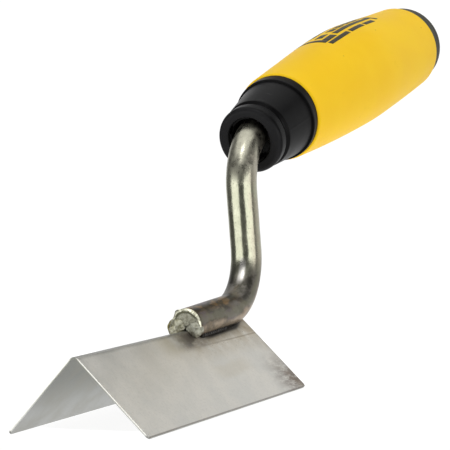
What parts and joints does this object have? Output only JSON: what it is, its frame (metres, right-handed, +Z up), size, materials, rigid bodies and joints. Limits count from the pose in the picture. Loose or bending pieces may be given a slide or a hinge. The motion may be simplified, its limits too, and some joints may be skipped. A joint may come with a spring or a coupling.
{
  "type": "outside corner trowel",
  "caption": "Hand trowel with a folded right-angle blade whose hollow fits over an outside wall corner, a cranked rod shank on its ridge and a barrel grip.",
  "frame": {"origin": "on the surface that the blade's two edges stand on, in the symmetry plane, halfway along the whole tool", "axes": "+Y along the ridge from the blade's front towards the tail cap, +Z up from the leg edges towards the ridge, +X to the right seen from the blade's front end towards +Y"},
  "size_m": [0.0424, 0.2556, 0.1216],
  "materials": {
    "blade_steel": "satin rolled stainless sheet with heat colour near the shank",
    "rod_steel": "drawn steel rod, semi-bright, heat-tinted at its front end",
    "weld_metal": "rough weld metal, slightly oxidised",
    "collar_plastic": "black moulded plastic, semi-gloss",
    "core_plastic": "black moulded plastic, matt",
    "grip_yellow": "satin yellow moulded elastomer",
    "cap_plastic": "dark grey moulded plastic, satin"
  },
  "bodies": {
    "root": {"blade": "blade_steel", "shank": "rod_steel", "weld_seam_left": "weld_metal", "weld_seam_right": "weld_metal", "weld_tack_left": "weld_metal", "weld_tack_right": "weld_metal", "nose_collar": "collar_plastic", "handle_core": "core_plastic", "grip_sleeve": "grip_yellow", "tail_cap": "cap_plastic"}
  },
  "joints": []
}
